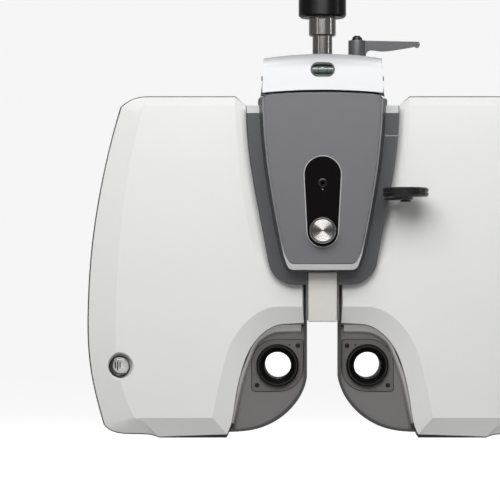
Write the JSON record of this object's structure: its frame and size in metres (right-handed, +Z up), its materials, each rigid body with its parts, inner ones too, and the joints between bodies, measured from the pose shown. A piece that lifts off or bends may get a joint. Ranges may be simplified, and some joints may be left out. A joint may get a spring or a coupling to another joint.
{
  "type": "auto phoropter",
  "caption": "Motorised refraction head with two lens chambers, sight apertures, tilt, levelling and forehead rest, hung from an arm socket.",
  "frame": {"origin": "middle of the arm socket's mouth, on the hanger rod's axis", "axes": "+Z up along the socket's bore, -Y towards the operator (white covers), +Y towards the patient, +X to the operator's right"},
  "size_m": [0.3338, 0.118, 0.3357],
  "materials": {
    "socket_black": "glossy black",
    "polished_steel": "polished",
    "steel": "machined",
    "lever_grey": "matt cast",
    "screw_black": "black oxide",
    "white_shell": "satin white",
    "rear_shell": "satin dark grey",
    "panel_grey": "satin grey",
    "rim_silver": "satin",
    "casing_grey": "satin dark",
    "bar_silver": "satin light",
    "window_black": "glossy black",
    "lamp_glass": "clear",
    "knob_steel": "spun",
    "wheel_black": "black",
    "vial_dark": "dark",
    "vial_green": "tinted",
    "cast_frame": "cast",
    "pad_soft": "soft",
    "inlet_black": "matt",
    "eye_grey": "satin",
    "plate_grey": "satin",
    "ring_black": "black",
    "eye_glass": "clear",
    "shield_black": "matt",
    "mirror": "polished",
    "disc_black": "anodised",
    "gear_white": "moulded",
    "motor_steel": "plated"
  },
  "bodies": {
    "arm": {"arm_socket": "socket_black"},
    "hanger": {"hanger_rod": "polished_steel", "hanger_sleeve": "polished_steel", "cross_pin": "steel"},
    "tilt_block": {"tilt_yoke": "steel"},
    "lever": {"clamp_lever": "lever_grey", "lever_screw": "screw_black"},
    "head": {"head_cap": "white_shell", "vial_bezel": "vial_dark", "level_vial": "vial_green", "front_panel": "panel_grey", "panel_rim": "rim_silver", "window_plate": "window_black", "near_lamp": "lamp_glass", "centre_casing": "casing_grey", "nose_bar": "bar_silver", "centre_frame": "cast_frame", "guide_rails": "steel", "pd_motor": "motor_steel", "rear_cover": "rear_shell", "cable_inlet": "inlet_black"},
    "level_wheel": {"level_wheel": "wheel_black"},
    "forehead_knob": {"forehead_knob": "knob_steel"},
    "forehead_rest": {"forehead_arm": "steel", "forehead_pad": "pad_soft"},
    "pd_screw": {"pd_screw": "steel"},
    "left_carriage": {"left_carriage": "steel"},
    "left_chamber": {"left_front_cover": "white_shell", "left_rear_case": "rear_shell", "left_eye_panel": "eye_grey", "left_eye_plate": "plate_grey", "left_aperture_ring": "ring_black", "left_front_window": "eye_glass", "left_face_shield": "shield_black", "left_alignment_mirror": "mirror", "left_spindle": "steel", "left_sphere_motor": "motor_steel", "left_cylinder_motor": "motor_steel", "left_swing_bracket": "steel"},
    "left_sphere_disc": {"left_sphere_disc": "disc_black"},
    "left_sphere_pinion": {"left_sphere_pinion": "gear_white"},
    "left_cylinder_disc": {"left_cylinder_disc": "disc_black"},
    "left_cylinder_pinion": {"left_cylinder_pinion": "gear_white"},
    "right_carriage": {"right_carriage": "steel"},
    "right_chamber": {"right_front_cover": "white_shell", "right_rear_case": "rear_shell", "right_eye_panel": "eye_grey", "right_eye_plate": "plate_grey", "right_aperture_ring": "ring_black", "right_front_window": "eye_glass", "right_face_shield": "shield_black", "right_alignment_mirror": "mirror", "right_spindle": "steel", "right_sphere_motor": "motor_steel", "right_cylinder_motor": "motor_steel", "right_swing_bracket": "steel"},
    "right_sphere_disc": {"right_sphere_disc": "disc_black"},
    "right_sphere_pinion": {"right_sphere_pinion": "gear_white"},
    "right_cylinder_disc": {"right_cylinder_disc": "disc_black"},
    "right_cylinder_pinion": {"right_cylinder_pinion": "gear_white"}
  },
  "joints": [
    {"name": "swivel", "type": "hinge", "parent": "arm", "child": "hanger", "pos_m": [0, 0, -0.0403], "axis": [0, 0, 1], "range_deg": [-90, 90]},
    {"name": "tilt", "type": "hinge", "parent": "hanger", "child": "tilt_block", "pos_m": [0, 0, -0.085], "axis": [1, 0, 0], "range_deg": [-10, 20]},
    {"name": "clamp_lever_turn", "type": "hinge", "parent": "tilt_block", "child": "lever", "pos_m": [0.0251, 0.009, -0.06], "axis": [0, 0, 1], "range_deg": [-60, 60]},
    {"name": "level", "type": "hinge", "parent": "tilt_block", "child": "head", "pos_m": [0, 0, -0.112], "axis": [0, 1, 0], "range_deg": [-2.5, 2.5]},
    {"name": "level_wheel_turn", "type": "hinge", "parent": "head", "child": "level_wheel", "pos_m": [0.058, -0.052, -0.1627], "axis": [0, 0, 1], "range_deg": [-360, 360]},
    {"name": "forehead_rest_slide", "type": "slide", "parent": "head", "child": "forehead_rest", "axis": [0, 1, 0], "range_m": [0, 0.014]},
    {"name": "forehead_knob_turn", "type": "hinge", "parent": "head", "child": "forehead_knob", "pos_m": [0, -0.05, -0.1895], "axis": [0, -1, 0], "range_deg": [0, 1260]},
    {"name": "left_pd_slide", "type": "slide", "parent": "head", "child": "left_carriage", "axis": [-1, 0, 0], "range_m": [-0.008, 0.008]},
    {"name": "right_pd_slide", "type": "slide", "parent": "head", "child": "right_carriage", "axis": [1, 0, 0], "range_m": [-0.008, 0.008]},
    {"name": "pd_screw_turn", "type": "hinge", "parent": "head", "child": "pd_screw", "pos_m": [0, -0.004, -0.15], "axis": [1, 0, 0], "range_deg": [-720, 720]},
    {"name": "left_convergence", "type": "hinge", "parent": "left_carriage", "child": "left_chamber", "pos_m": [-0.032, 0.039, -0.2845], "axis": [0, 0, 1], "range_deg": [0, 5]},
    {"name": "right_convergence", "type": "hinge", "parent": "right_carriage", "child": "right_chamber", "pos_m": [0.032, 0.039, -0.2845], "axis": [0, 0, 1], "range_deg": [-5, 0]},
    {"name": "left_sphere_disc_turn", "type": "hinge", "parent": "left_chamber", "child": "left_sphere_disc", "pos_m": [-0.0728, 0, -0.268], "axis": [0, -1, 0], "continuous": true},
    {"name": "left_sphere_pinion_turn", "type": "hinge", "parent": "left_chamber", "child": "left_sphere_pinion", "pos_m": [-0.08977, 0, -0.25103], "axis": [0, -1, 0], "continuous": true},
    {"name": "left_cylinder_disc_turn", "type": "hinge", "parent": "left_chamber", "child": "left_cylinder_disc", "pos_m": [-0.0728, 0, -0.268], "axis": [0, -1, 0], "continuous": true},
    {"name": "left_cylinder_pinion_turn", "type": "hinge", "parent": "left_chamber", "child": "left_cylinder_pinion", "pos_m": [-0.08977, 0, -0.25103], "axis": [0, -1, 0], "continuous": true},
    {"name": "right_sphere_disc_turn", "type": "hinge", "parent": "right_chamber", "child": "right_sphere_disc", "pos_m": [0.0728, 0, -0.268], "axis": [0, -1, 0], "continuous": true},
    {"name": "right_sphere_pinion_turn", "type": "hinge", "parent": "right_chamber", "child": "right_sphere_pinion", "pos_m": [0.08977, 0, -0.25103], "axis": [0, -1, 0], "continuous": true},
    {"name": "right_cylinder_disc_turn", "type": "hinge", "parent": "right_chamber", "child": "right_cylinder_disc", "pos_m": [0.0728, 0, -0.268], "axis": [0, -1, 0], "continuous": true},
    {"name": "right_cylinder_pinion_turn", "type": "hinge", "parent": "right_chamber", "child": "right_cylinder_pinion", "pos_m": [0.08977, 0, -0.25103], "axis": [0, -1, 0], "continuous": true}
  ],
  "couplings": [
    {"joint": "level_wheel_turn", "follows": "level", "ratio": 144},
    {"joint": "forehead_knob_turn", "follows": "forehead_rest_slide", "rad_per_m": 1570.8},
    {"joint": "right_pd_slide", "follows": "left_pd_slide", "ratio": 1},
    {"joint": "pd_screw_turn", "follows": "left_pd_slide", "rad_per_m": 1570.8},
    {"joint": "right_convergence", "follows": "left_convergence", "ratio": -1},
    {"joint": "left_sphere_pinion_turn", "follows": "left_sphere_disc_turn", "ratio": -2},
    {"joint": "left_cylinder_pinion_turn", "follows": "left_cylinder_disc_turn", "ratio": -2},
    {"joint": "right_sphere_pinion_turn", "follows": "right_sphere_disc_turn", "ratio": -2},
    {"joint": "right_cylinder_pinion_turn", "follows": "right_cylinder_disc_turn", "ratio": -2}
  ]
}
